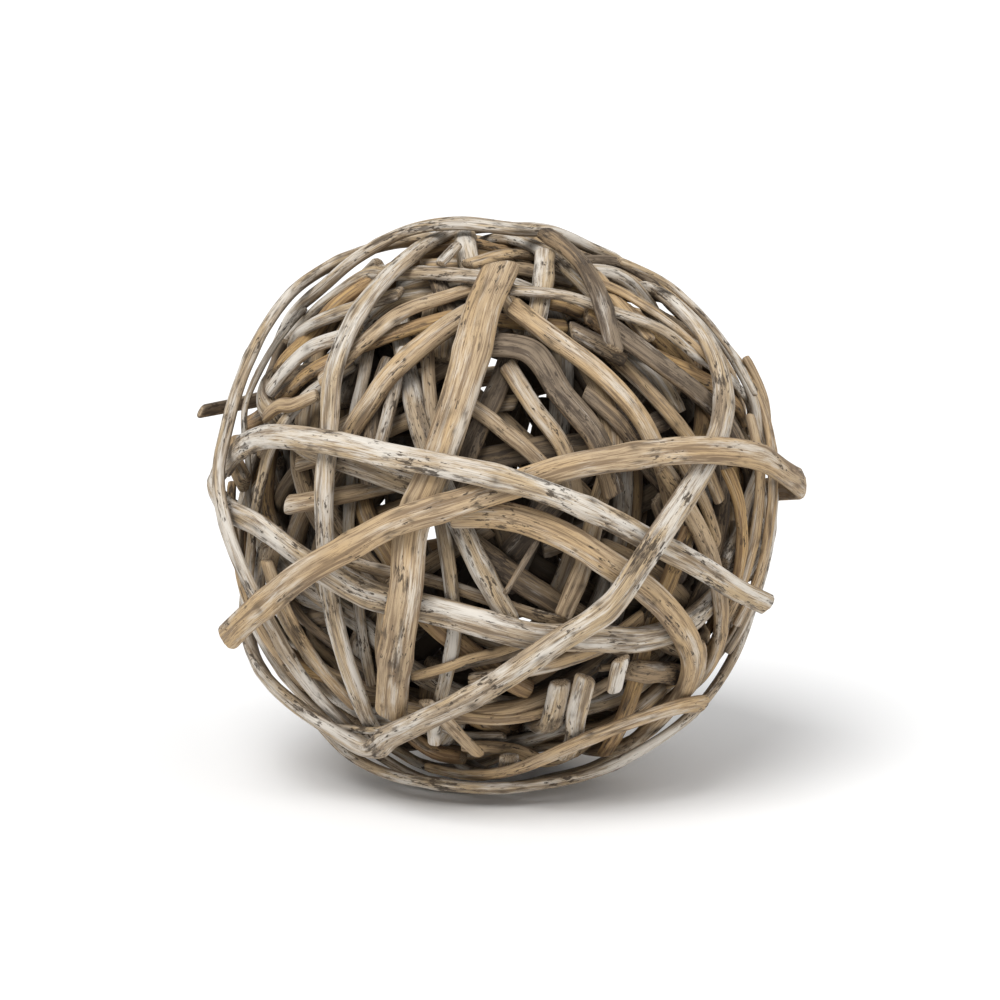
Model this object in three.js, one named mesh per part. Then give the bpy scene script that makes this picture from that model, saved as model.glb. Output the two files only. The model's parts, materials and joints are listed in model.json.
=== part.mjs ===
// A woven willow ball: split willow sticks wound over and under each other round an empty middle.
// Millimetres, +Z up. The ball rests on its flat spot at z = 0, with the origin below its middle.
import * as THREE from "three";

// Driving dimensions
const BALL_RADIUS = 56; // from the ball's middle to the middle of a stick in the outer layer
const FLOOR_DROP = 57; // from the ball's middle down to the flat spot that it stands on
const FLAT_BITE = 0.6; // how much of a stick's dome the flat spot takes away
const THICKNESS_RATIO = 0.62; // a stick's thickness, towards the ball's middle, over its width
const FLAT_SIDE_RATIO = 0.72; // a stick's half thickness on its split inner side, over its outer one
const THIN_END_RATIO = 0.88; // a stick's width at its thin end, over its stated width
const RING_STEP = 11; // between two sections along a stick
const AIR_GAP = 0.3; // between two sticks where they cross
const SUPPORT_RATIO = 0.9; // what two crossing sticks need of their full thickness

// How the sticks settle against each other
const PROBE_STEP = 1.6; // between two points of a stick that are tried against the others
const LAPS = 500;
const CALM_LAPS = 150; // the last laps, in which sticks only move apart
const BEND_STIFFNESS = 0.25; // how far a ring goes to the middle of its neighbours in one lap
const HOME_PULL = 0.03; // how far a ring goes back to its own stated radius in one lap
const INNER_SHARE = 0.65; // the inner stick's share of the way that two crossing sticks move apart
const MOST_OUTWARDS = 1.5; // how far a ring may end up outside its own stated radius
const MOST_INWARDS = 7; // and inside it

const COLOURS = {
  washed: { color: 0xa89c88, roughness: 0.85 },
  tan: { color: 0x96805e, roughness: 0.8 },
  golden: { color: 0xa07c4c, roughness: 0.78 },
  dark: { color: 0x5f5140, roughness: 0.88 },
};

// Each stick is a name, a colour, a width, and its way round the ball as [longitude, latitude, radius].
// Longitude 0 is the front, along -Y, and grows to the right. A missing radius repeats the one before.
const STICKS = [
  // the long sashes and the hoops that lie outermost
  ["upper_sash", "washed", 4.9, [[-80, 9, 55], [-62, 17, 56], [-38, 19, 57], [-18, 17, 57.5], [0, 14, 58],
    [19, 7, 56.5], [28, 2, 55.5], [38, -3, 56], [46, -8, 58], [52, -11, 59.5], [62, -15, 60.5]]],
  ["long_sash", "tan", 5.4, [[-67, -22, 62], [-57, -17, 60], [-45, -10, 58], [-36, -4], [-27, 1],
    [-18, 6, 57.5], [-9, 9, 56], [0, 12, 55], [10, 15, 56.5], [19, 17, 57.5], [29, 17], [41, 17, 58.5],
    [51, 15, 59.5], [59, 13, 60.5], [68, 9, 61], [80, 5], [92, 2, 60], [104, 0, 58], [122, -5, 57],
    [142, -9], [162, -14], [180, -18], [-160, -21]]],
  ["corner_sash", "washed", 5.2, [[150, 50, 53], [126, 56, 52], [104, 56, 50.5], [84, 53, 51.5],
    [71, 46, 54], [66, 36, 56.5], [58, 25], [52, 19, 55], [43, 12, 55.5], [29, 1, 58], [24, -8], [19, -12],
    [9, -19, 57], [0, -26], [-9, -32], [-18, -37], [-24, -41], [-31, -44], [-41, -50, 57.5],
    [-51, -46, 58.5], [-60, -40, 59.5], [-74, -36, 59], [-92, -29, 57], [-112, -19], [-132, -8],
    [-150, 5]]],
  ["thick_stave", "tan", 7.2, [[0, 60, 56.5], [-4, 53, 56], [-7, 39, 55.5], [-12, 20, 54], [-18, 3, 53.5],
    [-18, -4, 54], [-21, -18, 54.5], [-31, -41, 54.5]]],
  ["left_stave", "washed", 4.6, [[157, 44, 54], [160, 60], [165, 74], [-125, 80], [-79, 76, 55],
    [-52, 68, 56], [-46, 50, 56], [-44, 36, 55.5], [-40, 22, 54], [-39, 8, 54.5], [-39, -12, 54],
    [-39, -32, 53.5], [-44, -48, 54], [-50, -58, 54]]],
  ["crown_rod", "washed", 4.5, [[-112, 30, 55.5], [-104, 42, 56], [-93, 54], [-87, 64, 56.5], [-80, 72, 57],
    [-58, 78, 57.5], [-6, 80], [28, 79, 56.5], [80, 78, 53], [110, 68, 51.5], [124, 52, 52.5],
    [128, 32, 53.5], [131, 12, 54]]],
  ["left_hoop", "washed", 4.2, [[168, 60, 53], [-160, 66, 54], [-125, 64, 55], [-106, 54, 56],
    [-91, 44, 57], [-81, 34, 58], [-73, 23, 58], [-71, 7, 58.5], [-67, 0, 58], [-62, -7, 57.5],
    [-60, -14, 56], [-55, -23], [-55, -32], [-55, -45, 55], [-62, -59, 55.5], [-76, -72, 58],
    [-118, -80, 61], [178, -75, 60], [168, -60, 57]]],
  ["top_left_rod", "washed", 4, [[-112, 22, 54], [-105, 34, 55], [-98, 46, 55.5], [-91, 54], [-83, 60, 55],
    [-66, 63, 54], [-45, 63, 53.5], [-31, 64], [-8, 61, 53]]],
  ["bottom_hoop", "washed", 4.2, [[-100, -42, 56], [-82, -54, 57], [-62, -61, 57.5], [-26, -63, 57],
    [16, -64], [43, -61], [56, -52, 56.5], [71, -44], [86, -34, 55], [98, -20, 54.5], [106, -4, 54],
    [110, 12]]],
  ["lower_brace", "tan", 4, [[62, -39, 58], [53, -38, 57.5], [43, -38, 57], [26, -44], [16, -51], [4, -60],
    [-18, -67, 56], [-44, -68, 55]]],
  ["crown_strand", "dark", 4, [[36, 75, 56], [37, 69, 56.5], [34, 59, 57], [32, 51], [29, 39, 56]]],
  ["folded_stub", "dark", 4.2, [[37, 40, 53.5], [28, 44, 54], [22, 47, 54]]],

  // the front, second layer
  ["shoulder_rod", "tan", 3.6, [[-50, 32, 53], [-44, 39, 52.5], [-40, 47, 53], [-33, 52, 54], [-23, 57],
    [-12, 62, 53], [0, 65, 52]]],
  ["left_strut", "washed", 5, [[-136, 12, 54], [-116, 8, 56.5], [-100, 4, 59.5], [-88, 3, 57.5],
    [-71, 1, 55], [-56, -1], [-49, -5, 54], [-39, -11, 53]]],
  ["belly_rod", "washed", 5.7, [[-38, -5, 55.5], [-31, -10, 54], [-21, -13, 51], [-8, -15, 52.5],
    [8, -19, 53.5], [21, -20, 54], [40, -22, 53.5], [58, -18, 54], [69, -16, 53.5], [82, -13, 52.5],
    [96, -8], [112, -2], [130, 5, 54], [148, 12]]],
  ["right_bow", "tan", 5.4, [[-10, 7, 52], [0, 7, 54], [10, 4, 55], [20, -2, 55], [24, -5, 54.5],
    [30, -9, 54], [40, -18, 55.5], [49, -28, 56], [56, -40, 55.5], [62, -52, 55], [80, -64, 55.5],
    [115, -70], [150, -64], [166, -50]]],
  ["knotty_rod", "dark", 5.2, [[-7, 44, 52], [0, 44, 53], [8, 42, 53.5], [15, 32, 53], [22, 22, 51],
    [25, 10, 50]]],
  ["right_slant", "tan", 4.3, [[4, 54, 53], [12, 47, 54], [22, 40], [31, 30], [36, 23, 53], [39, 14, 51],
    [42, 3, 50]]],
  ["short_slant", "tan", 3.5, [[33, 48, 51], [38, 40, 53], [44, 29, 53], [52, 17, 52], [58, 5, 50]]],
  ["thin_strand", "washed", 2.6, [[4, 57, 54.5], [22, 55], [33, 51, 53], [48, 46, 53.5], [63, 37, 54],
    [79, 28], [96, 18], [114, 6]]],
  ["knotty_slat", "dark", 4.6, [[34, 45, 54], [48, 33, 54.5], [61, 25, 53], [73, 15, 51], [88, 3, 51],
    [103, -12, 52.5], [118, -26, 54], [136, -38], [158, -47]]],
  ["brown_slat", "golden", 4, [[31, 52, 51], [40, 47, 52], [57, 37, 52.5], [74, 28], [92, 18]]],
  ["crown_post", "tan", 3.6, [[170, 78, 53], [110, 80, 52], [72, 74, 53], [52, 65, 54], [47, 54, 53.5],
    [49, 43, 52]]],
  ["limb_strand", "tan", 2.8, [[60, 68, 52], [68, 57, 52.5], [80, 46, 53], [90, 34, 53.5], [98, 20, 53]]],
  ["right_hoop", "tan", 3.6, [[168, 68, 53], [130, 64, 51], [108, 54, 51.5], [99, 42, 54.5], [94, 31, 56],
    [88, 20, 56], [82, 12, 56], [76, 4, 55], [72, -9, 54], [70, -24, 52.5]]],
  ["right_inner_hoop", "tan", 3.6, [[80, 20, 52], [75, 8, 53], [70, -6, 53.5], [68, -18, 54], [68, -32],
    [70, -46], [78, -58], [100, -66], [128, -68]]],
  ["bottom_stub", "washed", 4.2, [[20, -29, 54], [21, -42, 54.5], [25, -52], [28, -60, 54]]],
  ["right_stay", "golden", 4, [[45, 1, 51], [41, -10, 51.5], [39, -24], [39, -38, 52.5], [44, -52, 53.5],
    [54, -62, 54.5]]],
  ["dark_bow", "dark", 4, [[5, 49, 49.5], [1, 40, 50], [-6, 24, 50.5], [-11, 11, 50]]],
  ["inner_slant", "tan", 3.6, [[2, 41, 51], [8, 31], [15, 20, 51.5], [17, 9, 50]]],
  ["nub_rod", "tan", 4.2, [[25, 45, 49], [28, 30, 49.5], [28, 22, 50], [23, 10, 49.5], [18, -6, 50],
    [14, -16, 50]]],
  ["blunt_bar", "dark", 4.8, [[-18, 17, 49], [-4, 20, 49.5], [11, 22, 50], [29, 23, 48], [48, 26, 47]]],
  ["left_bar", "tan", 3.8, [[-53, 5, 51], [-38, 9], [-30, 12, 50], [-19, 17, 48]]],
  ["upper_band", "washed", 4.4, [[176, 20, 54], [-156, 16], [-136, 20], [-116, 26], [-98, 30], [-86, 28],
    [-71, 23, 53.5], [-52, 18, 52.5], [-36, 16, 53], [-15, 11, 51]]],
  ["deep_bar", "dark", 5, [[-17, 9, 48.5], [-5, -2, 49], [5, -9], [20, -19, 48], [34, -26, 48]]],
  ["thin_bar", "tan", 2.6, [[-39, -5, 50], [-17, -9, 50.5], [0, -14, 50], [21, -20, 49]]],
  ["kinked_stay", "washed", 2.9, [[-16, 14, 50.5], [-12, -1, 51.5], [-11, -23, 52], [-18, -41, 52.5],
    [-24, -54]]],
  ["left_stay", "washed", 3.2, [[-50, 40, 52], [-58, 27, 53], [-62, 13], [-67, 0], [-72, -14]]],
  ["left_band", "washed", 4, [[-156, 50, 54], [-134, 40], [-114, 33], [-99, 35], [-87, 40, 54.5],
    [-74, 45, 54], [-57, 51, 53.5], [-42, 57, 52.5]]],
  ["golden_slat", "golden", 3.6, [[-94, 16, 52], [-80, 24], [-66, 32, 53], [-55, 38], [-43, 44, 52],
    [-26, 51], [-12, 54], [10, 54], [26, 53, 51]]],
  ["inner_post", "washed", 2.8, [[-50, 48, 50], [-42, 37, 50.5], [-39, 22, 50.5], [-39, 5, 49.5],
    [-36, -18, 49], [-39, -38, 50]]],
  ["inner_stay", "tan", 3, [[-34, 62, 51], [-27, 50], [-20, 36], [-16, 24, 50], [-14, 12, 49]]],
  ["slant_bar", "tan", 3.6, [[-56, 14, 50], [-43, 20], [-29, 27, 49.5], [-13, 32, 50], [5, 34, 49]]],
  ["top_bar", "tan", 4.4, [[-54, 69, 51.5], [-30, 74, 53], [-6, 76, 54], [20, 75, 53], [54, 68, 51]]],
  ["top_strand", "tan", 3.4, [[-18, 68, 52.5], [16, 78, 54], [80, 81, 52.5], [120, 70, 51.5], [146, 54, 53],
    [158, 38], [168, 22], [178, 6], [-172, -12]]],
  ["pale_stub", "washed", 4.2, [[30, 71, 55.5], [25, 66, 55], [14, 55, 53.5], [11, 48, 51.5]]],
  ["side_bow", "tan", 3.2, [[-57, -2, 51.5], [-65, -13, 52], [-66, -24], [-62, -34, 51.5], [-50, -39, 51],
    [-30, -42, 50]]],
  ["left_limb_rod", "washed", 3.8, [[-178, 58, 54], [-150, 54], [-130, 44], [-116, 28, 55], [-106, 8],
    [-99, -8, 56], [-93, -20, 57], [-86, -30], [-82, -42, 55.5], [-73, -57, 55], [-56, -68, 60],
    [-32, -75, 62], [0, -79], [45, -81], [88, -76, 60], [99, -62, 57], [108, -48, 55]]],
  ["left_tip", "dark", 3.2, [[-128, 18, 56], [-117, 15, 59.5], [-108, 13, 66]]],
  ["low_bar", "tan", 3, [[-34, -42, 51], [-9, -46, 52.5], [10, -46, 53], [28, -39, 52.5], [48, -32, 51.5]]],

  // the back and underside, plainer
  ["back_slant_right", "tan", 4.6, [[96, 66, 50], [118, 48, 51.5], [140, 28, 53.5], [155, 10], [168, -10],
    [180, -30, 54], [-165, -48], [-140, -62]]],
  ["back_slant_left", "washed", 4.6, [[-104, 62, 53], [-122, 44, 52], [-142, 26, 53], [-158, 8],
    [-175, -10], [170, -28, 54], [150, -44, 53], [120, -54], [94, -50]]],
  ["back_meridian", "washed", 4.4, [[178, 80, 52], [176, 60, 53], [170, 35], [175, 10, 52], [-178, -15],
    [-170, -40, 54], [-160, -65, 55.5], [-80, -82, 54.5], [0, -74, 54.5], [4, -60, 53]]],
  ["back_left_hoop", "tan", 4.2, [[-116, 72, 52.5], [-130, 55, 53], [-136, 30, 52], [-138, 5],
    [-140, -20, 53], [-140, -45, 53], [-132, -66, 52.5], [-60, -84, 51.5], [34, -74, 52.5],
    [40, -60, 52.5]]],
  ["back_right_hoop", "tan", 4.4, [[150, 72, 52], [144, 50], [140, 25], [134, 0], [128, -25],
    [120, -48, 53], [102, -64, 55], [60, -74, 56], [10, -66, 53], [-16, -58, 52]]],
  ["low_back_band", "washed", 4.4, [[80, -24, 52], [96, -28], [115, -31], [140, -32], [165, -36],
    [-170, -41], [-145, -43], [-120, -42], [-98, -36, 53], [-80, -20, 53], [-66, -6, 51]]],
  ["high_back_band", "tan", 4.2, [[86, 32, 51.5], [112, 30, 52], [135, 36, 54], [160, 38], [-175, 36],
    [-150, 32], [-125, 34, 51], [-100, 26], [-76, 14]]],
  ["middle_back_band", "tan", 4.4, [[-76, 6, 52], [-93, 10, 57.5], [-110, 8, 56.5], [-132, 0, 54],
    [-152, 2], [-172, 12], [166, 22, 51], [146, 20], [118, 14, 52], [96, 8, 51]]],
];

// The point at a longitude, latitude and radius, from the ball's middle.
function spot([longitude, latitude, radius]) {
  const turn = THREE.MathUtils.degToRad(longitude);
  const rise = THREE.MathUtils.degToRad(latitude);
  return new THREE.Vector3(
    Math.cos(rise) * Math.sin(turn),
    -Math.cos(rise) * Math.cos(turn),
    Math.sin(rise),
  ).multiplyScalar(radius);
}

// The largest radius at which a stick under the ball still keeps most of its dome above the floor.
function floorLimit(direction, thickness) {
  return direction.z < 0 ? (FLOOR_DROP + FLAT_BITE - thickness / 2) / -direction.z : Infinity;
}

// Rings spaced evenly along a way: each has its direction from the middle and the radius it would like.
function layOut(way, thickness) {
  const full = [];
  for (const [longitude, latitude, radius] of way)
    full.push([longitude, latitude, radius ?? full.at(-1)[2]]);
  const curve = new THREE.CatmullRomCurve3(full.map(spot), false, "centripetal");
  const count = Math.max(2, Math.round(curve.getLength() / RING_STEP));
  const rings = [];
  for (let i = 0; i <= count; i++) {
    const t = curve.getUtoTmapping(i / count);
    const leg = Math.min(Math.floor(t * (full.length - 1)), full.length - 2);
    const home = THREE.MathUtils.lerp(full[leg][2], full[leg + 1][2], t * (full.length - 1) - leg);
    const direction = curve.getPoint(t).normalize();
    const most = Math.min(home + MOST_OUTWARDS, floorLimit(direction, thickness));
    rings.push({ direction, radius: home, home, least: home - MOST_INWARDS, most });
  }
  return rings;
}

// Points along the straight stretches between a stick's rings.
function probesOf(stick) {
  const probes = [];
  for (let k = 0; k + 1 < stick.rings.length; k++) {
    const a = stick.rings[k];
    const b = stick.rings[k + 1];
    const angle = a.direction.angleTo(b.direction);
    const count = Math.ceil((angle * BALL_RADIUS) / PROBE_STEP);
    for (let i = 0; i < count; i++) {
      const f = (i + 0.5) / count;
      const direction = a.direction.clone().lerp(b.direction, f).normalize();
      const sag = (f * (1 - f) * angle * angle * BALL_RADIUS) / 2;
      const home = THREE.MathUtils.lerp(a.home, b.home, f);
      probes.push({ stick, a, b, f, direction, sag, home, order: k + f });
    }
  }
  return probes;
}

// The places where two sticks cross, each with the one that passes outside.
function crossingsOf(first, second) {
  const reach = (first.width + second.width) / 2;
  const nearest = Math.cos((reach + PROBE_STEP) / BALL_RADIUS);
  const touches = [];
  for (const p of first.probes)
    for (const q of second.probes) {
      const cosine = p.direction.dot(q.direction);
      if (cosine < nearest) continue;
      const apart = Math.max(0, Math.acos(Math.min(1, cosine)) * BALL_RADIUS - PROBE_STEP / 2);
      if (apart >= reach) continue;
      const part = Math.sqrt(1 - (apart / reach) ** 2);
      const need = ((first.thickness + second.thickness) / 2) * SUPPORT_RATIO * part + AIR_GAP;
      touches.push({ p, q, need });
    }
  const crossings = [];
  for (const touch of touches) {
    const last = crossings.at(-1);
    if (last && touch.p.order - last.at(-1).p.order < 1) last.push(touch);
    else crossings.push([touch]);
  }
  return crossings.flatMap((crossing) => {
    const lead = crossing.reduce((sum, { p, q }) => sum + p.home - q.home, 0);
    return crossing.map(({ p, q, need }) => (lead > 0 ? { top: p, low: q, need } : { top: q, low: p, need }));
  });
}

function radiusAt({ a, b, f, sag }) {
  return THREE.MathUtils.lerp(a.radius, b.radius, f) - sag;
}

function shift({ a, b, f }, distance) {
  const share = distance / ((1 - f) ** 2 + f ** 2);
  a.radius += share * (1 - f);
  b.radius += share * f;
}

// Moves the sticks in and out until none runs through another, each bending as little as it can.
function settle(sticks) {
  for (const stick of sticks) stick.probes = probesOf(stick);
  const touches = [];
  for (let i = 0; i < sticks.length; i++)
    for (let j = i + 1; j < sticks.length; j++) touches.push(...crossingsOf(sticks[i], sticks[j]));
  for (let lap = 0; lap < LAPS; lap++) {
    const ease = Math.max(0, 1 - lap / (LAPS - CALM_LAPS));
    for (const { rings } of sticks) {
      for (let k = 1; k + 1 < rings.length; k++) {
        const middle = (rings[k - 1].radius + rings[k + 1].radius) / 2;
        rings[k].radius += (middle - rings[k].radius) * BEND_STIFFNESS * ease;
      }
      for (const ring of rings) ring.radius += (ring.home - ring.radius) * HOME_PULL * ease;
    }
    for (const { top, low, need } of touches) {
      const lack = need - radiusAt(top) + radiusAt(low);
      if (lack <= 0) continue;
      shift(top, lack * (1 - INNER_SHARE));
      shift(low, -lack * INNER_SHARE);
    }
    for (const { rings } of sticks)
      for (const ring of rings) ring.radius = THREE.MathUtils.clamp(ring.radius, ring.least, ring.most);
  }
}

// A stick's middle line with its own frames: the section's x runs across the stick, and y outwards.
class StickPath extends THREE.Curve {
  constructor(rings) {
    super();
    this.points = rings.map(({ direction, radius }) => direction.clone().multiplyScalar(radius));
  }

  getPoint(t, target = new THREE.Vector3()) {
    return target.copy(this.points[Math.round(t * (this.points.length - 1))]);
  }

  getSpacedPoints() {
    return this.points;
  }

  computeFrenetFrames() {
    const last = this.points.length - 1;
    const frames = { tangents: [], normals: [], binormals: [] };
    for (let i = 0; i <= last; i++) {
      const tangent = this.points[Math.min(i + 1, last)].clone().sub(this.points[Math.max(i - 1, 0)]);
      tangent.normalize();
      const outwards = this.points[i].clone().normalize();
      outwards.addScaledVector(tangent, -outwards.dot(tangent)).normalize();
      const scale = THREE.MathUtils.lerp(1, THIN_END_RATIO, i / last);
      frames.tangents.push(tangent);
      frames.normals.push(outwards.clone().cross(tangent).multiplyScalar(scale));
      frames.binormals.push(outwards.multiplyScalar(scale));
    }
    return frames;
  }
}

// A split stick's section: domed outside, flatter on the side towards the ball's middle.
function sectionOf({ width, thickness }) {
  const side = width / 2;
  const dome = thickness / 2;
  const flat = -dome * FLAT_SIDE_RATIO;
  return new THREE.Shape([
    new THREE.Vector2(side, 0),
    new THREE.Vector2(side / 2, dome),
    new THREE.Vector2(-side / 2, dome),
    new THREE.Vector2(-side, 0),
    new THREE.Vector2(-side * FLAT_SIDE_RATIO, flat),
    new THREE.Vector2(side * FLAT_SIDE_RATIO, flat),
  ]);
}

// Presses what lies under the floor up to it, which gives the ball its flat spot.
function pressFlat(geometry) {
  const { position } = geometry.attributes;
  for (let i = 0; i < position.count; i++) position.setZ(i, Math.max(position.getZ(i), -FLOOR_DROP));
}

function buildStick(stick) {
  const geometry = new THREE.ExtrudeGeometry(sectionOf(stick), {
    steps: stick.rings.length - 1,
    extrudePath: new StickPath(stick.rings),
  });
  pressFlat(geometry);
  const mesh = new THREE.Mesh(geometry, new THREE.MeshStandardMaterial({ ...COLOURS[stick.colour], metalness: 0 }));
  mesh.name = stick.name;
  return mesh;
}

const sticks = STICKS.map(([name, colour, width, way]) => {
  const thickness = width * THICKNESS_RATIO;
  return { name, colour, width, thickness, rings: layOut(way, thickness) };
});
settle(sticks);

const ball = new THREE.Group();
for (const stick of sticks) ball.add(buildStick(stick));
const box = new THREE.Box3().setFromObject(ball);
const middle = box.getCenter(new THREE.Vector3());
ball.position.set(-middle.x, -middle.y, FLOOR_DROP);

export default ball;
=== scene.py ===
# The looks of a woven willow ball: every split stick with its own grain, knots, cut ends and worn wash.
import json
import math
import random

import bmesh
import bpy
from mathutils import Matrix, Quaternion, Vector, kdtree, noise


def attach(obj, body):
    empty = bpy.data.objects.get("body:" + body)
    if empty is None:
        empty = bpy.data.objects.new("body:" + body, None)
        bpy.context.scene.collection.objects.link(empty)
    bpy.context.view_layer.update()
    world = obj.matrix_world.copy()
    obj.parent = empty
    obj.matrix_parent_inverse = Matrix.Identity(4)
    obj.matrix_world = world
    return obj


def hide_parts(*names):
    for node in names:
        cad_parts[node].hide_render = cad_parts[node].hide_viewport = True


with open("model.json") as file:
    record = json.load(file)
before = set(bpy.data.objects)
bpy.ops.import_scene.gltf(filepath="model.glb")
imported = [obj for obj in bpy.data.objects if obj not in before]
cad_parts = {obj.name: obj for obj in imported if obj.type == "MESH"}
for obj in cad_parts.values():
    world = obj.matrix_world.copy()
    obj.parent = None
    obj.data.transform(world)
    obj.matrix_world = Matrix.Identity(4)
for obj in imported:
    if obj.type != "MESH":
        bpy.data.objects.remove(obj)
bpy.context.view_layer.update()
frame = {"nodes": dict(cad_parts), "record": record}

MM = 0.001
BALL_MIDDLE = Vector((0.4, 1.05, 57.0)) * MM  # the place that all the sticks are laid round
SAME_PLACE = 1e-6  # metres within which two corners are one

CAMERA_DISTANCE = 0.75
CAMERA_HEIGHT = math.radians(10)
LENS = 135
NEAREST_SEEN = 0.05
FLOOR_REACH = 12.0
FLOOR_PALE = 0.9
WORLD_LIGHT = 0.55

# A height is a distance from the ball's middle. A level is one of the heights that a new stick can take.
BALL_RADIUS = 56 * MM  # to the middle of an outer stick
LAY_STEP = 1.5 * MM  # between two places where a new stick is tried against the others
LEVEL_STEP = 0.5 * MM
LOWEST_LEVEL = 36 * MM
LEVEL_COUNT = 42
LEVELS = [LOWEST_LEVEL + LEVEL_STEP * i for i in range(LEVEL_COUNT)]
STICK_GAP = 0.15 * MM
WIDEST_HALF = 3.6 * MM  # no stick's half width is greater

# What a new stick's level costs at one place, and what a change of level costs between two places.
HOME_COST, HOME_SCALE = 0.05, 2.2 * MM  # for lying this far from the level it would like
CUT_SCALE, CUT_POWER = 0.35 * MM, 1.5  # for cutting into another stick
BARRED_COST = 100.0  # for lying under the floor or above its top level
CLIMB_COST = 0.8  # for a change by one level
STEEPEST = 2  # levels from one place to the next
SMOOTHINGS = 3
FAR_END = 0.9  # a new stick's size at its far end over its size at the near one

# The filling sticks, in millimetres where no other unit is named.
SPOT_COUNT = 5200  # places on the ball that are tested for being open
OPEN_SHARE = 0.07  # of these places that the sticks leave open
MOST_FILLERS = 150
FILLER_TRIES = 7  # ways that are compared for each stick
FILLER_HALF_WIDTHS = (1.2, 1.6, 1.9, 2.2, 2.4)
FILLER_LENGTHS = (45, 130)
FILLER_BEND = 0.25
FILLER_HOME = 53.5  # the height that one would like to lie at on the back
FRONT_SINK = 7.0  # how much deeper that is at the front
SINK_RAMP = 1.6
HOME_SPREAD = (-2.5, 0.8)
FILLER_TOP = 54 * MM  # the greatest height that one may climb to
FILLER_COLOURS = ("tan", "dark", "washed", "tan", "washed", "golden", "tan")
FILLER_SEED = 41

TWIG_THICKNESS = 0.62  # a stick's thickness over its width
THINNEST = 0.8  # of that thickness, which a stick of the part has at least
DOME_SHARE = 0.55  # of the thickness, on the outer side of the middle line
FLAT_SHARE = 0.45
STICK_APART = 0.4  # in metres, between two sticks' places in the shared grain, so no two look alike
FINE_STEP = 0.75 * MM  # between two rows of a finished stick's mesh
COARSE_STEP = 1.3 * MM  # the same on a stick deep in the ball
WIDE_STICK = 4.2 * MM
WIDE_SIDES, MAIN_SIDES, SPLINT_SIDES, FILLER_SIDES = 28, 22, 18, 12  # mesh faces round a stick
FIRST_SPLINT, FIRST_FILLER = 100, 200  # the sticks' numbers, which seed their relief
RELIEF_WIDTH = 5 * MM
KNOT_REACH = 7  # millimetres along the stick that a knot can swell
FIRST_KNOT, KNOT_APART = (4, 20), (13, 38)  # in millimetres
SEAM_GAP = 1e-7
END_ROUNDING = 0.5 * MM  # how far from a cut end its edge is rounded
END_SHRINK = 0.12
SLANT_REACH = 4 * MM  # how far from a cut end the rows lean with its slant
CUT_INSET, CUT_DEPTH = 0.14, 0.02  # of the stick's width
PAINTED_SHADE_BELOW = 53 * MM  # painted shade: sticks under this height are painted darker the deeper they lie, for the shade that falls deep in the ball
PAINTED_SHADE_DARKEST = 40 * MM

DIRT = (0.045, 0.032, 0.022)
CUT_LIGHT = (0.42, 0.32, 0.21)
CUT_DARK = (0.13, 0.09, 0.055)
# The colour of the painted shade that darkens the sticks deep in the ball.
PAINTED_DEEP_SHADE = (0.03, 0.021, 0.014)


# ---------------------------------------------------------------- the sticks' middle lines

class Station:
    """One place along a stick: its middle, the way out of the ball, and its half sizes."""

    def __init__(self, middle, out, half_width, dome, flat):
        self.middle = middle
        self.out = out
        self.half_width = half_width
        self.dome = dome
        self.flat = flat


def cap_corners(node):
    """The six corners of one of a CAD stick's two flat ends, and not of a flat that lies on the floor."""
    bm = bmesh.new()
    bm.from_mesh(node.data)
    bmesh.ops.remove_doubles(bm, verts=bm.verts, dist=SAME_PLACE)
    bmesh.ops.dissolve_limit(bm, angle_limit=0.002, verts=bm.verts, edges=bm.edges)
    ends = [f for f in bm.faces if len(f.verts) == 6 and abs(f.normal.z) < 0.999]
    corners = [v.co.copy() for v in ends[0].verts]
    bm.free()
    return corners


def stations_of(node):
    """A CAD stick's sections, read from one end to the other."""
    bm = bmesh.new()
    bm.from_mesh(node.data)
    bmesh.ops.remove_doubles(bm, verts=bm.verts, dist=SAME_PLACE)
    bm.verts.index_update()
    corners = cap_corners(node)
    ring = {v for v in bm.verts if min((v.co - c).length for c in corners) < SAME_PLACE}
    rings = []
    seen = set()
    while ring:
        rings.append([v.co.copy() for v in sorted(ring, key=lambda v: v.index)])
        seen |= ring
        ring = {e.other_vert(v) for v in ring for e in v.link_edges} - seen
    bm.free()
    stations = []
    for k, points in enumerate(rings):
        middle = sum(points, Vector()) / len(points)
        before = sum(rings[max(k - 1, 0)], Vector()) / len(points)
        after = sum(rings[min(k + 1, len(rings) - 1)], Vector()) / len(points)
        along = (after - before).normalized()
        out = (middle - BALL_MIDDLE).normalized()
        out = (out - along * out.dot(along)).normalized()
        side = out.cross(along)
        across = [(p - middle).dot(side) for p in points]
        high = [(p - middle).dot(out) for p in points]
        middle = middle + side * (max(across) + min(across)) / 2
        width = max(across) - min(across)
        thick = max(max(high) - min(high), width * TWIG_THICKNESS * THINNEST)
        stations.append(Station(middle, out, width / 2, thick * DOME_SHARE, thick * FLAT_SHARE))
    return stations


def catmull_rom(a, b, c, d, t):
    """A smooth curve from b to c, for t from 0 to 1."""
    return 0.5 * (2 * b + (c - a) * t + (2 * a - 5 * b + 4 * c - d) * t * t
                  + (3 * b - a - 3 * c + d) * t ** 3)


def refine(stations, step):
    """The same stick with a station every step along a smooth curve."""
    fine = []
    last = len(stations) - 1
    for k in range(last):
        four = [stations[min(max(k + i, 0), last)] for i in (-1, 0, 1, 2)]
        count = max(1, round((four[2].middle - four[1].middle).length / step))
        for i in range(count + (k == last - 1)):
            t = i / count
            values = [catmull_rom(*(getattr(s, key) for s in four), t)
                      for key in ("middle", "out", "half_width", "dome", "flat")]
            fine.append(Station(*values))
    return fine


# ---------------------------------------------------------------- further sticks, threaded in between

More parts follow.
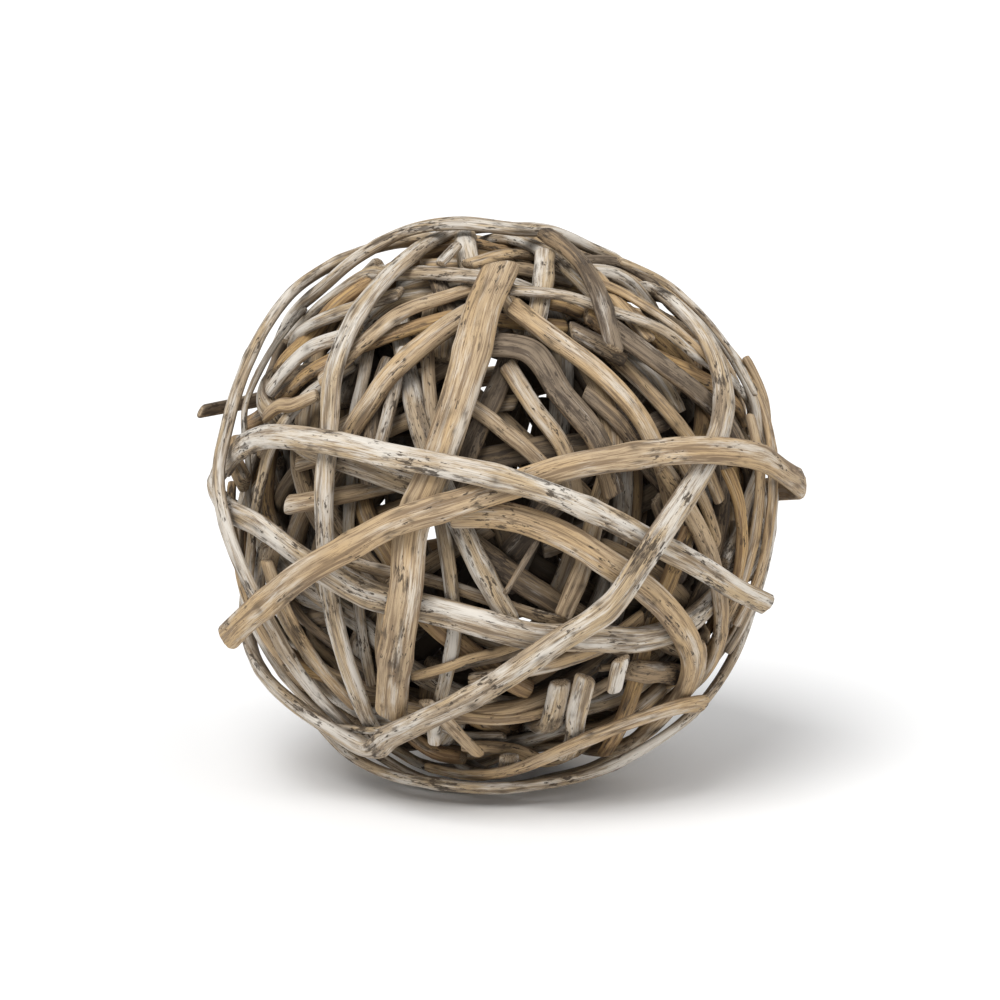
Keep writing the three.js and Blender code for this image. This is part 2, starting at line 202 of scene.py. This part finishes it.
# Sticks that show between the main ones: a colour, a width, the height they would like to lie at, both in
# millimetres, and their way as [longitude, latitude], with 0, 0 in the middle of the front.
SPLINTS = {
    "left_shoulder_splint": ("washed", 3.6, 51.5, [[-72, 27], [-67, 34.5], [-62, 39], [-53, 42.5],
                                                   [-46, 45]]),
    "left_cheek_splint": ("tan", 3.0, 51, [[-66, 22], [-61, 25], [-55, 26], [-48, 29]]),
    "brow_splint": ("washed", 2.8, 50, [[-30, 44], [-29.5, 38], [-28.5, 31], [-28.5, 25], [-29, 19]]),
    "brow_lath": ("dark", 3.2, 48, [[-36, 42], [-35, 32], [-33, 22], [-32, 12]]),
    "right_cheek_splint": ("tan", 2.9, 50.5, [[44, 19], [46, 14], [49, 9], [52, 4], [56, -4]]),
    "right_eye_splint": ("dark", 3.0, 48.5, [[39, 8], [41.5, 2], [45, -5], [49, -12]]),
    "belly_lath": ("tan", 3.3, 51.5, [[-8, -33], [0, -31], [8, -29.5], [15, -27.5], [20.5, -26], [26, -24],
                                      [29, -21.5], [34, -18]]),
    "belly_nub": ("washed", 3.4, 50.5, [[27, -24], [27, -27], [27.5, -32]]),
    "chin_twig": ("dark", 1.9, 49, [[33, -30], [40, -33], [47, -38]]),
    "chin_twig_pair": ("tan", 1.7, 50, [[30, -35], [38, -36], [46, -42]]),
    "heart_splint": ("tan", 3.2, 48.5, [[-8, 31], [-3, 28], [1, 25], [5.5, 21.5], [10, 17]]),
    "shaded_lath": ("tan", 4.0, 50.5, [[-23, -8], [-25, -13], [-27, -18], [-29.5, -25], [-31, -31],
                                       [-33, -38]]),
    "low_twig": ("tan", 2.0, 51, [[-22, -31], [-9, -26.5], [0, -24], [8, -21], [14, -19], [22, -17]]),
    "low_twig_pair": ("dark", 1.9, 50, [[-22, -34], [-9, -29.5], [0, -27], [9, -24], [16, -22]]),
    "bottom_splint": ("tan", 3.0, 51.5, [[-19, -36], [-15, -42], [-11, -50], [-8, -56]]),
    "bottom_lath": ("washed", 2.5, 54, [[-40, -49], [-29, -54], [-20, -59], [-10, -61], [2, -62]]),
    "frayed_twig": ("dark", 1.3, 51.5, [[8, 2], [4.5, -4], [1, -10]]),
    "crown_nub": ("washed", 2.5, 55, [[-28, 64], [-28, 68], [-28, 72]]),
    "crown_chip": ("golden", 3.0, 54, [[20, 58.5], [27, 57], [33, 54]]),
    "limb_twig": ("tan", 2.2, 54, [[42, 59], [49, 55], [53, 51], [58, 46], [62, 41], [66, 34]]),
    "limb_twig_pair": ("washed", 2.0, 54.5, [[62, 62], [68, 58], [74, 53], [76, 45], [77, 35], [78, 24]]),
    "left_limb_splint": ("tan", 3.0, 55.5, [[-88, 4], [-86, -8], [-86, -21], [-85, -30]]),
    "left_limb_lath": ("tan", 2.6, 54.5, [[-78, 2], [-74, -8], [-72, -17], [-68, -28], [-62, -38]]),
    "left_limb_sliver": ("washed", 2.2, 55, [[-98, 44], [-90, 36], [-84, 24], [-81, 10], [-80, -4]]),
    "right_limb_splint": ("washed", 3.0, 54.5, [[84, 40], [85, 26], [84, 10], [82, -4], [80, -18],
                                                [78, -32]]),
    "right_limb_lath": ("tan", 2.8, 54, [[92, 30], [90, 12], [88, -6], [88, -24], [90, -40]]),
    "right_inner_slat": ("golden", 3.2, 50, [[58, 12], [62, 4], [64, -6], [64, -18]]),
    "right_edge_slat": ("dark", 3.4, 51, [[66, 20], [66, 8], [63, -4], [58, -16], [52, -28]]),
    "small_inner_slat": ("washed", 2.6, 48.5, [[41, 8], [44, 4], [47, 2], [52, -6], [56, -12]]),
    "sash_edge_strand": ("washed", 1.9, 57.5, [[-66, -44], [-56, -47], [-46, -46.5], [-36, -45],
                                               [-27, -41], [-20, -38]]),
    "lower_left_slat": ("tan", 3.4, 51, [[-60, -8], [-56, -20], [-52, -32], [-48, -44]]),
    "lower_left_twig": ("dark", 2.4, 50, [[-70, -20], [-62, -26], [-54, -30], [-44, -36], [-34, -44]]),
}


class Shell:
    """The sticks laid so far, which a new one has to find its way over and under."""

    def __init__(self):
        self.spots = []
        self.tree = None

    def lay(self, stations):
        for s in stations:
            away = s.middle - BALL_MIDDLE
            self.spots.append((away.normalized(), away.length, s.half_width, s.dome + s.flat))
        self.tree = kdtree.KDTree(len(self.spots))
        for i, spot in enumerate(self.spots):
            self.tree.insert(spot[0], i)
        self.tree.balance()

    def crowding(self, direction, half_width, thickness):
        """For each level, how deep a stick would cut into the others if it crossed here at that level."""
        row = [0.0] * len(LEVELS)
        widest = (half_width + WIDEST_HALF) / BALL_RADIUS
        for place, index, away in self.tree.find_range(direction, widest):
            _, radius, other_half, other_thickness = self.spots[index]
            reach = (half_width + other_half) / BALL_RADIUS
            if away >= reach:
                continue
            need = (thickness + other_thickness) / 2 * math.sqrt(1 - (away / reach) ** 2) + STICK_GAP
            first = max(0, math.ceil((radius - need - LOWEST_LEVEL) / LEVEL_STEP))
            last = min(len(LEVELS) - 1, math.floor((radius + need - LOWEST_LEVEL) / LEVEL_STEP))
            for i in range(first, last + 1):
                row[i] = max(row[i], need - abs(LEVELS[i] - radius))
        return row

    def covered(self, direction):
        """Whether a stick already passes over this place."""
        for _, index, away in self.tree.find_range(direction, WIDEST_HALF / BALL_RADIUS):
            if away < self.spots[index][2] / BALL_RADIUS:
                return True
        return False


def on_sphere(longitude, latitude):
    """The direction from the ball's middle, for angles in degrees."""
    turn, rise = math.radians(longitude), math.radians(latitude)
    return Vector((math.cos(rise) * math.sin(turn), -math.cos(rise) * math.cos(turn), math.sin(rise)))


def way_between(places):
    """Directions from the ball's middle along a smooth way through a few places, a lay step apart."""
    points = [on_sphere(*place) for place in places]
    last = len(points) - 1
    way = []
    for k in range(last):
        four = [points[min(max(k + i, 0), last)] for i in (-1, 0, 1, 2)]
        count = max(1, round((four[2] - four[1]).length * BALL_RADIUS / LAY_STEP))
        way += [catmull_rom(*four, i / count).normalized() for i in range(count + (k == last - 1))]
    return way


def floor_limit(direction, thickness):
    """The greatest height that keeps a stick above the floor, where the direction points down at all."""
    return (BALL_MIDDLE.z - thickness * DOME_SHARE) / -direction.z if direction.z < -0.1 else 1.0


def thread(shell, way, half_width, thickness, home, top=LEVELS[-1]):
    """A new stick's stations along a way: at each it lies at the level where it cuts least into the
    others, stays near its home level, and climbs or dives as gently as it can."""
    best, steps = [], []
    for direction in way:
        row = shell.crowding(direction, half_width, thickness)
        limit = min(top, floor_limit(direction, thickness))
        cost = [((level - home) / HOME_SCALE) ** 2 * HOME_COST + (row[i] / CUT_SCALE) ** CUT_POWER
                + (BARRED_COST if level > limit else 0.0) for i, level in enumerate(LEVELS)]
        if not best:
            best, picks = cost, None
        else:
            picks, fresh = [], []
            for i, own in enumerate(cost):
                near = range(max(0, i - STEEPEST), min(len(LEVELS), i + STEEPEST + 1))
                j = min(near, key=lambda j: best[j] + CLIMB_COST * (i - j) ** 2)
                picks.append(j)
                fresh.append(best[j] + CLIMB_COST * (i - j) ** 2 + own)
            best = fresh
        steps.append(picks)
    level = min(range(len(LEVELS)), key=best.__getitem__)
    heights = []
    for picks in reversed(steps):
        heights.append(LEVELS[level])
        if picks:
            level = picks[level]
    heights.reverse()
    for _ in range(SMOOTHINGS):
        heights = [(heights[max(k - 1, 0)] + 2 * h + heights[min(k + 1, len(heights) - 1)]) / 4
                   for k, h in enumerate(heights)]
    stations = []
    for k, (direction, height) in enumerate(zip(way, heights)):
        scale = 1 + (FAR_END - 1) * k / len(way)
        stations.append(Station(BALL_MIDDLE + direction * height, direction.copy(), half_width * scale,
                                thickness * DOME_SHARE * scale, thickness * FLAT_SHARE * scale))
    return stations


def frame_stations(stations):
    """Turns each station's way out square to the stick."""
    last = len(stations) - 1
    for k, s in enumerate(stations):
        along = (stations[min(k + 1, last)].middle - stations[max(k - 1, 0)].middle).normalized()
        s.out = (s.out - along * s.out.dot(along)).normalized()
    return stations


def even_spots(count):
    """Directions spread evenly over a sphere."""
    golden_turn = math.pi * (3 - math.sqrt(5))
    spots = []
    for i in range(count):
        z = 1 - (2 * i + 1) / count
        flat = math.sqrt(1 - z * z)
        spots.append(Vector((flat * math.cos(i * golden_turn), flat * math.sin(i * golden_turn), z)))
    return spots


def random_way(chance, start, length, bend):
    """A gently bent way over the sphere with a given place in its middle."""
    tangent = start.orthogonal().normalized()
    tangent.rotate(Quaternion(start, chance.uniform(0, math.tau)))
    side = start.cross(tangent)
    half = length / BALL_RADIUS / 2
    count = max(4, round(length / LAY_STEP))
    way = []
    for i in range(count + 1):
        t = -half + 2 * half * i / count
        way.append((start * math.cos(t) + tangent * math.sin(t) + side * bend * t * t).normalized())
    return way


def fill_holes(shell, chance):
    """Lays sticks of the deeper layers over the widest holes until little shows through the ball."""
    spots = even_spots(SPOT_COUNT)
    open_spots = {i for i, spot in enumerate(spots) if not shell.covered(spot)}
    tree = kdtree.KDTree(len(spots))
    for i, spot in enumerate(spots):
        tree.insert(spot, i)
    tree.balance()
    laid = []
    while len(open_spots) > OPEN_SHARE * len(spots) and len(laid) < MOST_FILLERS:
        choices = []
        for _ in range(FILLER_TRIES):
            start = spots[chance.choice(sorted(open_spots))]
            half_width = chance.choice(FILLER_HALF_WIDTHS) * MM
            length = chance.uniform(*FILLER_LENGTHS) * MM
            way = random_way(chance, start, length, chance.uniform(-FILLER_BEND, FILLER_BEND))
            hits = set()
            for direction in way[::2]:
                hits.update(i for _, i, _ in tree.find_range(direction, half_width / BALL_RADIUS))
            choices.append((len(hits & open_spots) / len(way), way, half_width, hits))
        _, way, half_width, hits = max(choices, key=lambda choice: choice[0])
        open_spots -= hits
        middle = way[len(way) // 2]
        front = max(0.0, -middle.y)
        home = (FILLER_HOME - FRONT_SINK * min(1.0, front * SINK_RAMP) + chance.uniform(*HOME_SPREAD)) * MM
        thickness = 2 * half_width * TWIG_THICKNESS
        stations = thread(shell, way, half_width, thickness, home, FILLER_TOP)
        shell.lay(frame_stations(stations))
        laid.append(stations)
    return laid


# ---------------------------------------------------------------- a stick's relief

class Stick:
    """What makes one stick its own: its knots, its scars, how round it is, how ridged, and how its cut ends
    slant.
    """

    def __init__(self, number, length, width):
        chance = random.Random(number * 7919 + 17)
        self.roundness = chance.uniform(0.72, 0.98)
        self.flatness = chance.uniform(0.35, 0.75)
        self.shift = number * STICK_APART
        self.ridge = chance.uniform(0.7, 1.3)
        self.slants = [chance.uniform(-0.5, 0.5) for _ in range(2)]
        self.knots = []
        place = chance.uniform(*FIRST_KNOT) * MM
        while place < length - 3 * MM:
            angle = chance.uniform(-0.2, math.pi + 0.2)
            self.knots.append((place, angle, chance.uniform(0.4, 1.0)))
            place += chance.uniform(*KNOT_APART) * MM
        self.width = width


def section_point(stick, station, angle):
    """The smooth section's point at an angle, as its distances across and outwards."""
    across = math.copysign(abs(math.cos(angle)) ** stick.roundness, math.cos(angle))
    high = math.sin(angle)
    if high >= 0:
        return across * station.half_width, station.dome * high ** stick.roundness
    return across * station.half_width, -station.flat * (-high) ** stick.flatness


def relief_at(stick, across, high, run, angle):
    """How far the surface stands proud of the smooth section, in metres, and how stained it is there.
    The sum is worked out in millimetres for a stick RELIEF_WIDTH wide, and fitted to this one's width."""
    place = Vector((across, high, run + stick.shift)) / MM
    broad = noise.noise(Vector((place.x * 0.35, place.y * 0.35, place.z * 0.06)))
    ridges = noise.noise(Vector((place.x * 1.05, place.y * 1.05, place.z * 0.075)))
    fine = noise.noise(Vector((place.x * 2.3, place.y * 2.3, place.z * 0.16)))
    split = noise.noise(Vector((place.x * 0.9 + 31.7, place.y * 0.9, place.z * 0.045)))
    groove = max(0.0, 0.11 - abs(split)) / 0.11
    open_here = max(0.0, noise.noise(Vector((place.x * 0.2, 7.3, place.z * 0.05))) - 0.05)
    depth = groove * groove * min(1.0, open_here * 5)
    size = stick.width / RELIEF_WIDTH
    proud = (0.20 * broad + 0.13 * ridges * stick.ridge + 0.05 * fine - 0.22 * depth) * size
    stain = depth * 0.8
    for knot, turn, strength in stick.knots:
        off = (run - knot) / MM
        if abs(off) > KNOT_REACH:
            continue
        swell = math.exp(-(off / 2.6) ** 2)
        proud += 0.20 * strength * swell * size
        around = (angle - turn + math.pi) % (2 * math.pi) - math.pi
        away = math.hypot(off / 1.3, around * stick.width / 2 / MM / 1.1)
        if away < 3:
            eye = math.exp(-away * away)
            pit = math.exp(-(away / 0.45) ** 2)
            proud += strength * (0.32 * eye - 0.5 * pit) * size
            stain = max(stain, strength * (0.5 * eye + 0.6 * pit))
    return proud * MM, stain


def new_bmesh():
    """An empty mesh with the layers that the willow finish reads."""
    bm = bmesh.new()
    bm.verts.layers.float_vector.new("grain")
    for name in ("stain", "cut", "painted_shade"):
        bm.verts.layers.float.new(name)
    return bm


def roll_stick(bm, stations, number, step, around):
    """A stick's mesh: a grid rolled up round the stick's middle line, shut at its two cut ends."""
    fine = refine(stations, step)
    along = len(fine) - 1
    runs = [0.0]
    for a, b in zip(fine, fine[1:]):
        runs.append(runs[-1] + (b.middle - a.middle).length)
    width = 2 * max(s.half_width for s in stations)
    stick = Stick(number, runs[-1], width)
    grain = bm.verts.layers.float_vector["grain"]
    stains, cuts, painted_shades = (bm.verts.layers.float[name] for name in ("stain", "cut", "painted_shade"))

    frames = []
    for k, station in enumerate(fine):
        ahead = (fine[min(k + 1, along)].middle - fine[max(k - 1, 0)].middle).normalized()
        out = (station.out - ahead * station.out.dot(ahead)).normalized()
        frames.append((ahead, out, out.cross(ahead)))
    verts = bmesh.ops.create_grid(bm, x_segments=around, y_segments=along, size=1)["verts"]
    for v in verts:
        i = round((v.co.x + 1) / 2 * around)
        k = round((v.co.y + 1) / 2 * along)
        station, run = fine[k], runs[k]
        ahead, out, side = frames[k]
        angle = -math.pi / 2 + 2 * math.pi * (i % around) / around
        across, high = section_point(stick, station, angle)
        proud, stain = relief_at(stick, across, high, run, angle)
        reach = math.hypot(across, high)
        to_end = min(run, runs[-1] - run)
        rounding = max(0.0, 1 - to_end / END_ROUNDING) ** 2 * END_SHRINK
        scale = (1 + proud / reach) * (1 - rounding)
        slant = stick.slants[0] if run < runs[-1] / 2 else stick.slants[1]
        lean = slant * across * max(0.0, 1 - to_end / SLANT_REACH)
        v.co = station.middle + side * across * scale + out * high * scale + ahead * lean
        v[grain] = Vector((across, high, run + stick.shift)) / MM
        v[stains] = stain
        # painted shade: the deeper a point lies in the ball, the darker it is painted
        height = (v.co - BALL_MIDDLE).length
        v[painted_shades] = min(1.0, max(0.0, (PAINTED_SHADE_BELOW - height) / (PAINTED_SHADE_BELOW - PAINTED_SHADE_DARKEST)))
    bmesh.ops.remove_doubles(bm, verts=verts, dist=SEAM_GAP)
    verts = [v for v in verts if v.is_valid]
    rims = dict.fromkeys(e for v in verts for e in v.link_edges if e.is_boundary)
    ends = bmesh.ops.holes_fill(bm, edges=list(rims), sides=0)["faces"]
    bmesh.ops.inset_individual(bm, faces=ends, thickness=CUT_INSET * width, depth=CUT_DEPTH * width)
    hubs = bmesh.ops.poke(bm, faces=ends)["verts"]
    for hub in hubs:
        for face in hub.link_faces:
            for v in face.verts:
                v[cuts] = 1.0


def finish_piece(bm, name, finish):
    """The finished mesh as a piece of the ball, with nothing under the floor."""
    for v in bm.verts:
        v.co.z = max(v.co.z, 0.0)
    bmesh.ops.recalc_face_normals(bm, faces=bm.faces)
    mesh = bpy.data.meshes.new(name)
    bm.to_mesh(mesh)
    bm.free()
    mesh.shade_smooth()
    mesh.materials.append(finish)
    piece = bpy.data.objects.new(name, mesh)
    bpy.context.scene.collection.objects.link(piece)
    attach(piece, "root")
    return piece


# ---------------------------------------------------------------- materials

def add(tree, kind, **settings):
    node = tree.nodes.new(kind)
    for key, value in settings.items():
        setattr(node, key, value)
    return node


def math_node(tree, operation, a, b=None, clamp=False):
    """A sum of two links or numbers; a socket that is left out can be linked later."""
    node = add(tree, "ShaderNodeMath", operation=operation, use_clamp=clamp)
    for socket, value in zip(node.inputs, (a, b)):
        if value is None:
            continue
        if isinstance(value, (int, float)):
            socket.default_value = value
        else:
            tree.links.new(value, socket)
    return node.outputs[0]


def ramp_between(tree, value, low, high, to_low=0.0, to_high=1.0):
    """A soft step: to_low where the value is at low, and to_high where it is at high."""
    node = add(tree, "ShaderNodeMapRange", interpolation_type="SMOOTHSTEP")
    tree.links.new(value, node.inputs["Value"])
    for key, number in zip(("From Min", "From Max", "To Min", "To Max"), (low, high, to_low, to_high)):
        node.inputs[key].default_value = number
    return node.outputs["Result"]


def mix_colours(tree, share, first, second):
    """The first colour, turning into the second as the share grows to 1."""
    node = add(tree, "ShaderNodeMix", data_type="RGBA", blend_type="MIX")
    for socket, value in ((node.inputs[0], share), (node.inputs[6], first), (node.inputs[7], second)):
        if isinstance(value, (int, float)):
            socket.default_value = value
        elif isinstance(value, tuple):
            socket.default_value = (*value, 1.0)
        else:
            tree.links.new(value, socket)
    return node.outputs[2]


def stretched_noise(tree, place, across, along, detail=3.0, rough=0.55, offset=0.0):
    """Noise drawn out along the stick: across and along are its sizes in millimetres."""
    mapping = add(tree, "ShaderNodeMapping")
    mapping.inputs["Scale"].default_value = (1 / across, 1 / across, 1 / along)
    mapping.inputs["Location"].default_value = (offset, offset * 0.7, offset * 1.3)
    texture = add(tree, "ShaderNodeTexNoise")
    texture.inputs["Scale"].default_value = 1.0
    texture.inputs["Detail"].default_value = detail
    texture.inputs["Roughness"].default_value = rough
    tree.links.new(place, mapping.inputs["Vector"])
    tree.links.new(mapping.outputs["Vector"], texture.inputs["Vector"])
    return texture.outputs["Fac"]


def weathered_willow():
    """The shared effect: grain, golden and grey patches, worn wash, dark streaks and specks, cut ends,
    painted shade on each stick's inner side and deep in the ball, and relief.
    """
    group = bpy.data.node_groups.new("weathered willow", "ShaderNodeTree")
    for way, kind, names in (
            ("INPUT", "Vector", ("Grain place",)),
            ("INPUT", "Float", ("Stain", "Cut end", "Painted shade")),
            ("INPUT", "Color", ("Wood", "Warm wood", "Deep wood", "Wash colour")),
            ("INPUT", "Float", ("Wash amount", "Dirt amount")),
            ("OUTPUT", "Color", ("Colour",)),
            ("OUTPUT", "Float", ("Roughness", "Height"))):
        for name in names:
            group.interface.new_socket(name, in_out=way, socket_type="NodeSocket" + kind)
    given = add(group, "NodeGroupInput")
    result = add(group, "NodeGroupOutput")
    place = given.outputs["Grain place"]

    # The fields that all the rest is made of, each with its size across and along the grain.
    patches = stretched_noise(group, place, 6.0, 34.0, 2.0, offset=3.0)
    streaks = stretched_noise(group, place, 0.75, 16.0, 4.0, 0.6, offset=11.0)
    hairs = stretched_noise(group, place, 0.17, 5.0, 4.0, 0.68, offset=5.0)
    blotches = stretched_noise(group, place, 1.6, 6.5, 5.0, 0.65, offset=23.0)
    specks = stretched_noise(group, place, 0.55, 1.9, 3.0, 0.6, offset=41.0)
    clusters = stretched_noise(group, place, 7.0, 12.0, 2.0, offset=57.0)
    wash_field = stretched_noise(group, place, 2.2, 15.0, 4.0, 0.62, offset=73.0)

    # Golden and grey wood, with deeper lines along the grain.
    warmth = ramp_between(group, patches, 0.42, 0.56)
    base = mix_colours(group, warmth, given.outputs["Wood"], given.outputs["Warm wood"])
    deep = ramp_between(group, streaks, 0.54, 0.38, 0.0, 0.85)
    base = mix_colours(group, deep, base, given.outputs["Deep wood"])
    thin_lines = ramp_between(group, hairs, 0.49, 0.38, 0.0, 0.8)
    base = mix_colours(group, thin_lines, base, given.outputs["Deep wood"])

    # The worn wash, which stays longest between the finest lines.
    wash_share = math_node(group, "ADD", wash_field, given.outputs["Wash amount"])
    worn = math_node(group, "MULTIPLY_ADD", hairs, 0.5)
    group.links.new(wash_share, worn.node.inputs[2])
    wash = ramp_between(group, worn, 0.78, 1.04, 0.0, 0.9)
    base = mix_colours(group, wash, base, given.outputs["Wash colour"])

    # Dark specks and smudges, in clusters.
    speck_field = math_node(group, "MULTIPLY_ADD", clusters, 0.8)
    group.links.new(specks, speck_field.node.inputs[2])
    dirt = math_node(group, "ADD", speck_field, given.outputs["Dirt amount"])
    speck = ramp_between(group, dirt, 1.03, 1.13, 0.0, 0.9)
    blotch = math_node(group, "MULTIPLY_ADD", clusters, 0.45)
    group.links.new(blotches, blotch.node.inputs[2])
    blotch = math_node(group, "ADD", blotch, given.outputs["Dirt amount"])
    smudge = ramp_between(group, blotch, 0.81, 0.93, 0.0, 0.68)
    marks = math_node(group, "MAXIMUM", speck, smudge)
    marks = math_node(group, "MAXIMUM", marks, given.outputs["Stain"])
    base = mix_colours(group, marks, base, DIRT)

    # Painted shade on the side towards the ball's middle, the cut ends, and painted shade on the sticks
    # deep in the ball.
    split_place = add(group, "ShaderNodeSeparateXYZ")
    group.links.new(place, split_place.inputs[0])
    # painted shade: each stick is painted darker on its side towards the ball's middle, where the light
    # falls least
    painted_underside_shade = ramp_between(group, split_place.outputs["Y"], 0.1, -0.9, 0.0, 0.55)
    base = mix_colours(group, painted_underside_shade, base, given.outputs["Deep wood"])

    rings = add(group, "ShaderNodeTexNoise")
    rings.inputs["Scale"].default_value = 2.4
    rings.inputs["Detail"].default_value = 4.0
    group.links.new(place, rings.inputs["Vector"])
    end_tone = mix_colours(group, ramp_between(group, rings.outputs["Fac"], 0.4, 0.62), CUT_LIGHT, CUT_DARK)
    base = mix_colours(group, given.outputs["Cut end"], base, end_tone)
    # painted shade: sticks deep in the ball are darkened towards a near black brown
    painted_dim = math_node(group, "MULTIPLY", given.outputs["Painted shade"], 0.93)
    base = mix_colours(group, painted_dim, base, PAINTED_DEEP_SHADE)
    group.links.new(base, result.inputs["Colour"])

    dull = math_node(group, "MULTIPLY_ADD", wash, 0.16)
    dull.node.inputs[2].default_value = 0.66
    rough = math_node(group, "ADD", dull, math_node(group, "MULTIPLY", streaks, 0.14), clamp=True)
    group.links.new(rough, result.inputs["Roughness"])

    height = math_node(group, "MULTIPLY_ADD", hairs, 0.55)
    group.links.new(streaks, height.node.inputs[2])
    sunk = math_node(group, "MULTIPLY", marks, -0.35)
    height = math_node(group, "ADD", height, sunk)
    group.links.new(height, result.inputs["Height"])
    return group


FINISHES = {
    "washed_willow": dict(wood=(0.40, 0.31, 0.21), warm=(0.44, 0.33, 0.20), deep=(0.16, 0.115, 0.075),
                          wash=(0.62, 0.58, 0.52), wash_amount=0.13, dirt=0.03),
    "tan_willow": dict(wood=(0.43, 0.32, 0.20), warm=(0.47, 0.33, 0.18), deep=(0.18, 0.12, 0.07),
                       wash=(0.58, 0.52, 0.44), wash_amount=0.03, dirt=0.0),
    "golden_willow": dict(wood=(0.40, 0.26, 0.13), warm=(0.46, 0.30, 0.13), deep=(0.17, 0.10, 0.05),
                          wash=(0.55, 0.49, 0.40), wash_amount=-0.02, dirt=0.02),
    "dark_willow": dict(wood=(0.21, 0.16, 0.11), warm=(0.27, 0.19, 0.11), deep=(0.075, 0.053, 0.036),
                        wash=(0.46, 0.42, 0.37), wash_amount=-0.03, dirt=0.06),
}


def make_finish(name, effect, values):
    """One colour of willow: the shared effect with its own values."""
    material = bpy.data.materials.new(name)
    material.use_nodes = True
    tree = material.node_tree
    shader = tree.nodes["Principled BSDF"]
    shader.inputs["Specular IOR Level"].default_value = 0.3
    surface = add(tree, "ShaderNodeGroup", node_tree=effect)
    for key, value in (("Wood", values["wood"]), ("Warm wood", values["warm"]),
                       ("Deep wood", values["deep"]), ("Wash colour", values["wash"])):
        surface.inputs[key].default_value = (*value, 1.0)
    surface.inputs["Wash amount"].default_value = values["wash_amount"]
    surface.inputs["Dirt amount"].default_value = values["dirt"]
    for attribute, output, socket in (("grain", "Vector", "Grain place"), ("stain", "Fac", "Stain"),
                                      ("cut", "Fac", "Cut end"), ("painted_shade", "Fac", "Painted shade")):
        reader = add(tree, "ShaderNodeAttribute", attribute_type="GEOMETRY", attribute_name=attribute)
        tree.links.new(reader.outputs[output], surface.inputs[socket])
    bump = add(tree, "ShaderNodeBump")
    bump.inputs["Strength"].default_value = 0.55
    bump.inputs["Distance"].default_value = 0.22 * MM
    tree.links.new(surface.outputs["Height"], bump.inputs["Height"])
    tree.links.new(surface.outputs["Colour"], shader.inputs["Base Color"])
    tree.links.new(surface.outputs["Roughness"], shader.inputs["Roughness"])
    tree.links.new(bump.outputs["Normal"], shader.inputs["Normal"])
    return material


# ---------------------------------------------------------------- the room

def point_camera():
    camera = bpy.data.objects.new("camera", bpy.data.cameras.new("camera"))
    camera.data.lens = LENS
    camera.data.clip_start = NEAREST_SEEN
    back = Vector((0, -math.cos(CAMERA_HEIGHT), math.sin(CAMERA_HEIGHT)))
    camera.location = BALL_MIDDLE + back * CAMERA_DISTANCE
    camera.rotation_euler = back.to_track_quat("Z", "Y").to_euler()
    bpy.context.scene.collection.objects.link(camera)
    bpy.context.scene.camera = camera


def lay_floor():
    bm = bmesh.new()
    bmesh.ops.create_grid(bm, x_segments=1, y_segments=1, size=FLOOR_REACH)
    mesh = bpy.data.meshes.new("floor")
    bm.to_mesh(mesh)
    bm.free()
    floor = bpy.data.objects.new("floor", mesh)
    bpy.context.scene.collection.objects.link(floor)
    paint = bpy.data.materials.new("pale floor")
    paint.use_nodes = True
    shader = paint.node_tree.nodes["Principled BSDF"]
    shader.inputs["Base Color"].default_value = (FLOOR_PALE, FLOOR_PALE, FLOOR_PALE, 1)
    shader.inputs["Roughness"].default_value = 0.9
    mesh.materials.append(paint)


def soft_sun(name, azimuth, height, power, spread):
    """A wide soft lamp far away: azimuth 0 is in front, and grows to the right."""
    lamp = bpy.data.lights.new(name, "SUN")
    lamp.energy = power
    lamp.angle = math.radians(spread)
    light = bpy.data.objects.new(name, lamp)
    light.rotation_euler = on_sphere(azimuth, height).to_track_quat("Z", "Y").to_euler()
    bpy.context.scene.collection.objects.link(light)


def light_room():
    world = bpy.data.worlds.new("studio")
    world.use_nodes = True
    light = world.node_tree.nodes["Background"]
    light.inputs["Color"].default_value = (1, 1, 1, 1)
    light.inputs["Strength"].default_value = WORLD_LIGHT
    bpy.context.scene.world = world
    soft_sun("key", -25, 52, 2.6, 35)
    soft_sun("fill", 50, 30, 0.7, 60)
    bpy.context.scene.view_settings.view_transform = "Standard"


# ---------------------------------------------------------------- the ball

slots = {part["node"]: part["material_slot"] for part in frame["record"]["subparts"]}
effect = weathered_willow()
finishes = {name: make_finish(name, effect, values) for name, values in FINISHES.items()}

point_camera()
light_room()
lay_floor()

main_sticks = {name: stations_of(node) for name, node in sorted(frame["nodes"].items())}
shell = Shell()
for stations in main_sticks.values():
    shell.lay(refine(stations, LAY_STEP))

for number, (name, stations) in enumerate(main_sticks.items()):
    width = 2 * max(s.half_width for s in stations)
    bm = new_bmesh()
    roll_stick(bm, stations, number, FINE_STEP, WIDE_SIDES if width > WIDE_STICK else MAIN_SIDES)
    piece = finish_piece(bm, name + "_stick", finishes[slots[name]])
    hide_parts(name)

for number, (name, (colour, width, home, places)) in enumerate(SPLINTS.items(), FIRST_SPLINT):
    half_width = width / 2 * MM
    thickness = width * MM * TWIG_THICKNESS
    stations = frame_stations(thread(shell, way_between(places), half_width, thickness, home * MM))
    shell.lay(stations)
    bm = new_bmesh()
    roll_stick(bm, stations, number, FINE_STEP, SPLINT_SIDES)
    piece = finish_piece(bm, name, finishes[colour + "_willow"])

fillers = fill_holes(shell, random.Random(FILLER_SEED))
by_colour = {colour: new_bmesh() for colour in FILLER_COLOURS}
for number, stations in enumerate(fillers, FIRST_FILLER):
    colour = FILLER_COLOURS[number % len(FILLER_COLOURS)]
    roll_stick(by_colour[colour], stations, number, COARSE_STEP, FILLER_SIDES)
for colour, bm in by_colour.items():
    piece = finish_piece(bm, "inner_" + colour + "_sticks", finishes[colour + "_willow"])
print("laid", len(SPLINTS), "splints and", len(fillers), "inner sticks")
